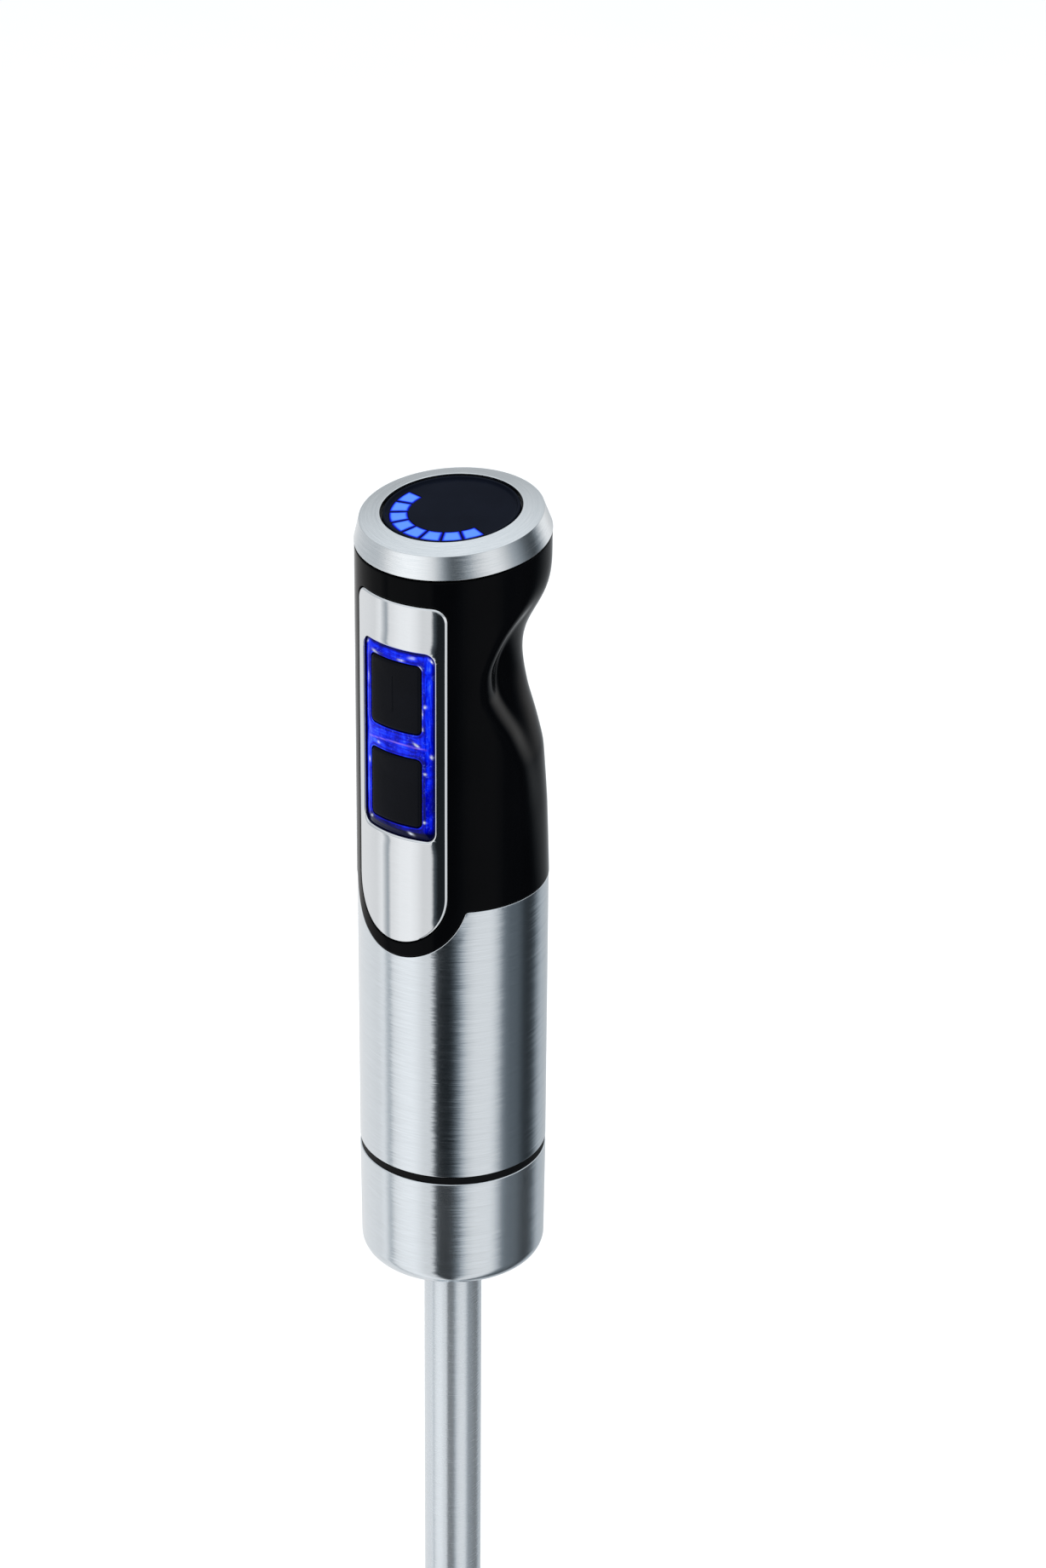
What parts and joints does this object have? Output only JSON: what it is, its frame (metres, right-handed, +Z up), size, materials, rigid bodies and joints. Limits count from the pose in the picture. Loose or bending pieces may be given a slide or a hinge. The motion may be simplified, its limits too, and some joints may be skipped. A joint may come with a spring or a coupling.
{
  "type": "immersion hand blender",
  "caption": "Stick blender with a waisted black grip, steel barrel, leaning speed dial with a lit level arc, two push buttons, a pull-off steel leg and a bell with a spinning blade.",
  "frame": {"origin": "centre of the bell's rim, on the plane that the blender stands on", "axes": "+Z up along the shaft towards the speed dial, -Y towards the button side, +X to the right when the buttons face the viewer"},
  "size_m": [0.066, 0.066, 0.4226],
  "materials": {
    "black_gloss": "high gloss moulded",
    "brushed_steel": "brushed round the axis",
    "trim_metal": "brushed across, polished rim",
    "lit_clear": "clear plastic lit blue from behind",
    "circuit_board": "solder mask",
    "white_plastic": "moulded",
    "switch_black": "moulded",
    "black_nylon": "fine textured",
    "level_light": "light guide lit blue",
    "display_black": "smoked, satin gloss",
    "lamination_steel": "stacked laminations",
    "copper_wire": "enamelled winding",
    "copper_bar": "turned segments",
    "brass_part": "pressed",
    "carbon": "pressed carbon",
    "bright_steel": "ground",
    "screw_steel": "zinc plated",
    "black_rubber": "satin",
    "satin_aluminium": "satin, finely turned",
    "button_black": "satin moulded"
  },
  "bodies": {
    "motor_unit": {"handle_shell": "black_gloss", "steel_sleeve": "brushed_steel", "front_trim_plate": "trim_metal", "button_light_frame": "lit_clear", "button_board": "circuit_board", "button_led": "white_plastic", "upper_switch": "switch_black", "lower_switch": "switch_black", "dial_chassis": "black_nylon", "display_board": "circuit_board", "level_light_guide": "level_light", "display_disc": "display_black", "control_board": "circuit_board", "suppression_capacitor": "white_plastic", "upper_motor_bracket": "white_plastic", "lower_motor_bracket": "white_plastic", "field_stack": "lamination_steel", "field_coil_left": "copper_wire", "field_coil_right": "copper_wire", "brush_holder_left": "brass_part", "brush_holder_right": "brass_part", "carbon_brush_left": "carbon", "carbon_brush_right": "carbon", "upper_bearing": "bright_steel", "lower_bearing": "bright_steel", "motor_screw_1": "screw_steel", "motor_screw_2": "screw_steel", "drive_end_cap": "black_nylon", "spigot_o_ring": "black_rubber", "end_cap_screw_1": "screw_steel", "end_cap_screw_2": "screw_steel", "cord_gland": "black_rubber"},
    "speed_dial": {"dial_ring": "satin_aluminium", "dial_hub": "black_nylon", "dial_magnet": "screw_steel"},
    "upper_button": {"upper_button": "button_black", "upper_switch_plunger": "white_plastic"},
    "lower_button": {"lower_button": "button_black", "lower_switch_plunger": "white_plastic"},
    "armature": {"motor_shaft": "bright_steel", "armature_core": "lamination_steel", "armature_winding_lower": "copper_wire", "armature_winding_upper": "copper_wire", "commutator": "copper_bar", "cooling_fan": "black_nylon", "drive_coupling": "white_plastic"},
    "coupling_ring": {"coupling_ring": "black_rubber"},
    "leg": {"leg_cup": "brushed_steel", "cup_insert": "black_nylon", "leg_tube": "brushed_steel", "bell_guard": "brushed_steel", "upper_shaft_bush": "brass_part", "lower_shaft_bush": "brass_part", "shaft_seal": "black_rubber"},
    "blade_shaft": {"drive_shaft": "bright_steel", "driven_coupling": "white_plastic", "blade": "bright_steel", "blade_collar": "bright_steel", "blade_nut": "bright_steel"}
  },
  "joints": [
    {"name": "dial_turn", "type": "hinge", "parent": "motor_unit", "child": "speed_dial", "pos_m": [0, 0, 0.41168], "axis": [0, -0.1184, 0.993], "range_deg": [-149.1, 0]},
    {"name": "upper_button_press", "type": "slide", "parent": "motor_unit", "child": "upper_button", "axis": [0, 1, 0], "range_m": [0, 0.0014], "stiffness_N_per_m": 1200, "springref_m": -0.0008},
    {"name": "lower_button_press", "type": "slide", "parent": "motor_unit", "child": "lower_button", "axis": [0, 1, 0], "range_m": [0, 0.0014], "stiffness_N_per_m": 1200, "springref_m": -0.0008},
    {"name": "armature_spin", "type": "hinge", "parent": "motor_unit", "child": "armature", "pos_m": [0, 0, 0.265], "axis": [0, 0, 1], "continuous": true},
    {"name": "leg_pull", "type": "slide", "parent": "motor_unit", "child": "coupling_ring", "axis": [0, 0, -1], "range_m": [0, 0.045]},
    {"name": "leg_twist", "type": "hinge", "parent": "coupling_ring", "child": "leg", "pos_m": [0, 0, 0.206], "axis": [0, 0, 1], "range_deg": [0, 30]},
    {"name": "shaft_spin", "type": "hinge", "parent": "coupling_ring", "child": "blade_shaft", "pos_m": [0, 0, 0.19], "axis": [0, 0, 1], "continuous": true}
  ],
  "couplings": [
    {"joint": "shaft_spin", "follows": "armature_spin", "ratio": 1}
  ]
}
